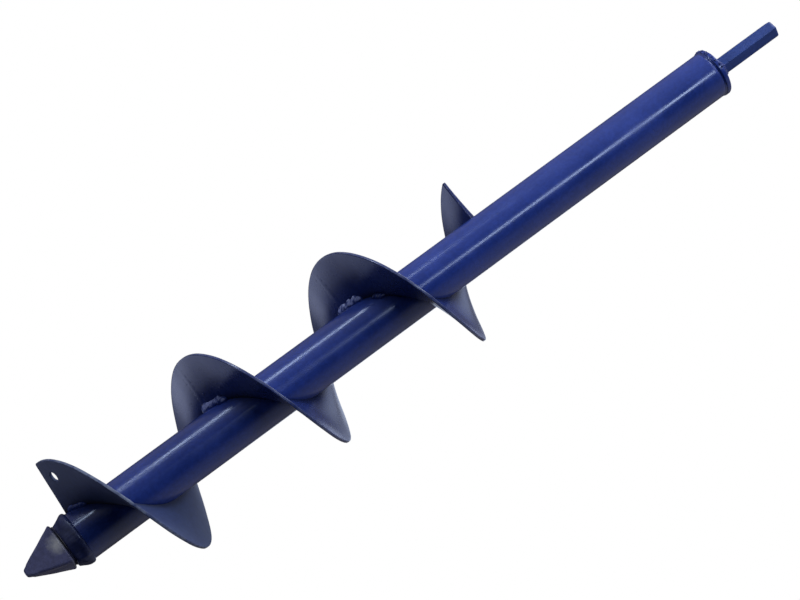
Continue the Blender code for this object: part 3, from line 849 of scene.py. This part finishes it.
make_tube()
for i in range(SECTIONS):
    make_flight(i)
for i in range(1, SECTIONS):
    joint_run(i)
for name, begin, end, leg, side, seed, extra in (
    ("weld_run_1_lower", 8.0, 40.0, 0.0030, -1, 1.1, 0),
    ("weld_run_2_lower", 349.0, 394.0, 0.0050, -1, 2.3, 5),
    ("weld_run_3_lower", 702.0, 745.0, 0.0052, -1, 3.7, 5),
    ("weld_run_4_lower", 766.0, 782.0, 0.0034, -1, 4.9, 1),
    ("weld_run_5_lower", 1020.0, 1047.0, 0.0042, -1, 5.2, 3),
    ("weld_run_1_upper", -2.0, 30.0, 0.0036, 1, 6.4, 4),
    ("weld_run_2_upper", 338.0, 368.0, 0.0036, 1, 7.6, 6),
    ("weld_run_3_upper", 690.0, 720.0, 0.0036, 1, 8.8, 6),
    ("weld_run_4_upper", 1020.0, 1047.0, 0.0036, 1, 9.3, 4),
):
    # weld_run_2_lower and weld_run_3_lower get a stronger painted highlight on their crests
    root_run(name, begin, end, leg, side, seed, extra, 1.05 if name in ("weld_run_2_lower", "weld_run_3_lower") else 0.5)
pilot_ring()
groove_ring()
plate_disc()
shank_bar()
shank_fillet()
make_point()

# ------------------------------------------------------------------ floor, light and camera
scene = bpy.context.scene
scene.view_settings.view_transform = "Standard"
scene.view_settings.look = "None"
scene.view_settings.exposure = 0.0
scene.view_settings.gamma = 1.0


def floor():
    bm = bmesh.new()
    bmesh.ops.create_circle(bm, cap_ends=True, segments=96, radius=9.0)
    mesh = bpy.data.meshes.new("studio_floor")
    bm.to_mesh(mesh)
    bm.free()
    mat = bpy.data.materials.new("studio_floor")
    mat.use_nodes = True
    t = mat.node_tree
    bsdf = t.nodes["Principled BSDF"]
    bsdf.inputs["Roughness"].default_value = 0.9
    coords = node(t, "ShaderNodeTexCoord", (-900, 0))
    mottle = node(t, "ShaderNodeTexNoise", (-700, 0), Scale=3.0, Detail=4.0)
    t.links.new(coords.outputs["Object"], mottle.inputs["Vector"])
    t.links.new(ramp(t, mottle.outputs["Fac"], [(0.3, grey(0.90)), (0.7, grey(0.92))], (-450, 0)), bsdf.inputs["Base Color"])
    # it runs out into the white backdrop with distance, as a studio sweep does
    away = node(t, "ShaderNodeVectorMath", (-700, -300), operation="LENGTH")
    t.links.new(coords.outputs["Object"], away.inputs[0])
    out = node(t, "ShaderNodeMapRange", (-450, -300), interpolation_type="SMOOTHSTEP")
    out.inputs["From Min"].default_value = 0.3
    out.inputs["From Max"].default_value = 5.0
    out.inputs["To Min"].default_value = 0.16
    out.inputs["To Max"].default_value = 0.80
    t.links.new(away.outputs["Value"], out.inputs["Value"])
    bsdf.inputs["Emission Color"].default_value = (1, 1, 1, 1)
    t.links.new(out.outputs[0], bsdf.inputs["Emission Strength"])
    mesh.materials.append(mat)
    obj = bpy.data.objects.new("studio_floor", mesh)
    obj.location = (0, 0, -0.30)
    # seen, but throws no light back on the object, as with a black flag laid in between
    obj.visible_diffuse = obj.visible_glossy = obj.visible_shadow = False
    scene.collection.objects.link(obj)


floor()


def soft_box(name, at, aim, size_x, size_y, power, colour=(1, 1, 1), lean=0):
    data = bpy.data.lights.new(name, "AREA")
    data.shape = "RECTANGLE"
    data.size, data.size_y = size_x, size_y
    data.energy = power
    data.color = colour
    obj = bpy.data.objects.new(name, data)
    at, aim = Vector(at), Vector(aim)
    obj.location = at
    back = (at - aim).normalized()
    up = Vector((0, 0, 1))
    right = up.cross(back).normalized()
    up = back.cross(right)
    c, w = math.cos(math.radians(lean)), math.sin(math.radians(lean))
    right, up = right * c + up * w, up * c - right * w
    obj.matrix_world = Matrix((
        (right.x, up.x, back.x, at.x), (right.y, up.y, back.y, at.y), (right.z, up.z, back.z, at.z), (0, 0, 0, 1),
    ))
    scene.collection.objects.link(obj)
    return obj


def radiance(value, w, h):
    """Watts that give an area light of this size this radiance."""
    return value * w * h * math.pi


def around(theta_deg, dist, z):
    """A place at this bearing from the axis, 0 towards the camera and 90 towards -X."""
    a = math.radians(theta_deg)
    return (-dist * math.sin(a), -dist * math.cos(a), z)


COOL = (0.84, 0.91, 1.0)
# narrow strips, which draw the two lines along the auger's own tube
soft_box("strip_a", around(0.5, 2.3, 1.30), (0, 0, 0.45), 0.30, 0.80, radiance(15.5, 0.30, 0.80), COOL)
soft_box("strip_a_low", around(10, 2.2, 0.55), (0, 0, 0.2), 0.20, 0.45, radiance(0.9, 0.20, 0.45), COOL)
soft_box("strip_b", around(67.5, 2.0, 0.50), (0, 0, 0.2), 0.24, 0.47, radiance(19.5, 0.24, 0.47), COOL, lean=10)
soft_box("strip_b_foot", around(55, 2.0, 0.17), (0, 0, 0.1), 0.22, 0.17, radiance(11.0, 0.22, 0.17), COOL)
soft_box("strip_b_high", around(86, 2.0, 1.08), (0, 0, 0.4), 0.50, 0.50, radiance(0.30, 0.50, 0.50), COOL)
# the main soft box, high on the left and nearer the shank than the point
soft_box("key_box", around(60, 0.95, 1.85), (0, 0, 0.45), 0.80, 0.80, radiance(8.6, 0.80, 0.80), (0.97, 0.98, 1.0))
# a pale card behind the upper half, for the faces seen nearly edge on
card = soft_box("back_card", around(188, 0.9, 0.50), (0, 0, 0.50), 0.36, 0.45, radiance(0.9, 0.36, 0.45), (0.72, 0.85, 1.15))
card.visible_camera = False


# soft panels round the object, each a patch of the surroundings: bearing, elevation, full width, faded width, colour times radiance
PANELS = (
    (82, 10, 20, 75, (0.50, 0.48, 0.50)),
    (268, 18, 10, 58, (0.46, 0.44, 0.46)),
    (163, -42, 3, 18, (0.78, 0.86, 1.22)),
    (173, -51, 13, 21, (0.53, 0.58, 0.84)),
    (195, -37, 5, 16, (0.30, 0.35, 0.58)),
    (197, 52, 3, 20, (0.70, 0.82, 1.14)),
    (185, 20, 15, 50, (0.14, 0.135, 0.14)),
    (30, -40, 8, 32, (0.35, 0.34, 0.35)),
    (15, 50, 10, 28, (1.30, 1.25, 1.30)),
    (30, 75, 20, 60, (0.40, 0.39, 0.40)),
)


def studio_world():
    world = bpy.data.worlds.new("studio")
    scene.world = world
    world.use_nodes = True
    t = world.node_tree
    t.nodes.clear()
    out = node(t, "ShaderNodeOutputWorld", (1200, 0))
    coords = node(t, "ShaderNodeTexCoord", (-900, 0))
    total = None
    for i, (bearing, rise, inner, outer, colour) in enumerate(PANELS):
        b, e = math.radians(bearing), math.radians(rise)
        near = node(t, "ShaderNodeVectorMath", (-650, -220 * i), operation="DOT_PRODUCT")
        t.links.new(coords.outputs["Generated"], near.inputs[0])
        near.inputs[1].default_value = (-math.sin(b) * math.cos(e), -math.cos(b) * math.cos(e), math.sin(e))
        fade = node(t, "ShaderNodeMapRange", (-450, -220 * i), interpolation_type="SMOOTHSTEP")
        fade.inputs["From Min"].default_value = math.cos(math.radians(outer))
        fade.inputs["From Max"].default_value = math.cos(math.radians(inner))
        fade.inputs["To Min"].default_value = 0.0
        fade.inputs["To Max"].default_value = 1.0
        t.links.new(near.outputs["Value"], fade.inputs["Value"])
        tinted = node(t, "ShaderNodeVectorMath", (-300, -220 * i), operation="SCALE")
        tinted.inputs[0].default_value = colour
        t.links.new(fade.outputs[0], tinted.inputs["Scale"])
        if total is None:
            total = tinted.outputs[0]
        else:
            plus = node(t, "ShaderNodeVectorMath", (-100, -220 * i), operation="ADD")
            t.links.new(total, plus.inputs[0])
            t.links.new(tinted.outputs[0], plus.inputs[1])
            total = plus.outputs[0]
    glow = node(t, "ShaderNodeBackground", (350, 0))
    glow.inputs["Strength"].default_value = 1.0
    t.links.new(total, glow.inputs["Color"])
    seen = node(t, "ShaderNodeBackground", (350, -200))
    seen.inputs["Color"].default_value = (1.0, 1.0, 1.0, 1)
    path = node(t, "ShaderNodeLightPath", (350, 300))
    pick = node(t, "ShaderNodeMixShader", (800, 0))
    t.links.new(path.outputs["Is Camera Ray"], pick.inputs[0])
    t.links.new(glow.outputs[0], pick.inputs[1])
    t.links.new(seen.outputs[0], pick.inputs[2])
    t.links.new(pick.outputs[0], out.inputs["Surface"])


studio_world()


def camera():
    tilt, roll = 0.23160741838055934, 0.6319551724853382
    u = Vector((math.cos(tilt) * math.cos(roll), -math.cos(tilt) * math.sin(roll), math.sin(tilt)))
    f = Vector((0.0, 0.0, -1.0))
    e1 = (f - u * f.dot(u)).normalized()
    e2 = u.cross(e1)
    right = Vector((e2[0], -e1[0], u[0]))
    down = Vector((e2[1], -e1[1], u[1]))
    forward = Vector((e2[2], -e1[2], u[2]))
    data = bpy.data.cameras.new("camera")
    data.sensor_width = 36.0
    data.lens = 36.0 * 2251.941583297539 / 800.0
    data.clip_start, data.clip_end = 0.05, 60.0
    obj = bpy.data.objects.new("camera", data)
    at = Vector((-0.001009, -1.358010, -0.038340))
    obj.matrix_world = Matrix((
        (right.x, -down.x, -forward.x, at.x), (right.y, -down.y, -forward.y, at.y), (right.z, -down.z, -forward.z, at.z), (0, 0, 0, 1),
    ))
    scene.collection.objects.link(obj)
    scene.camera = obj


camera()
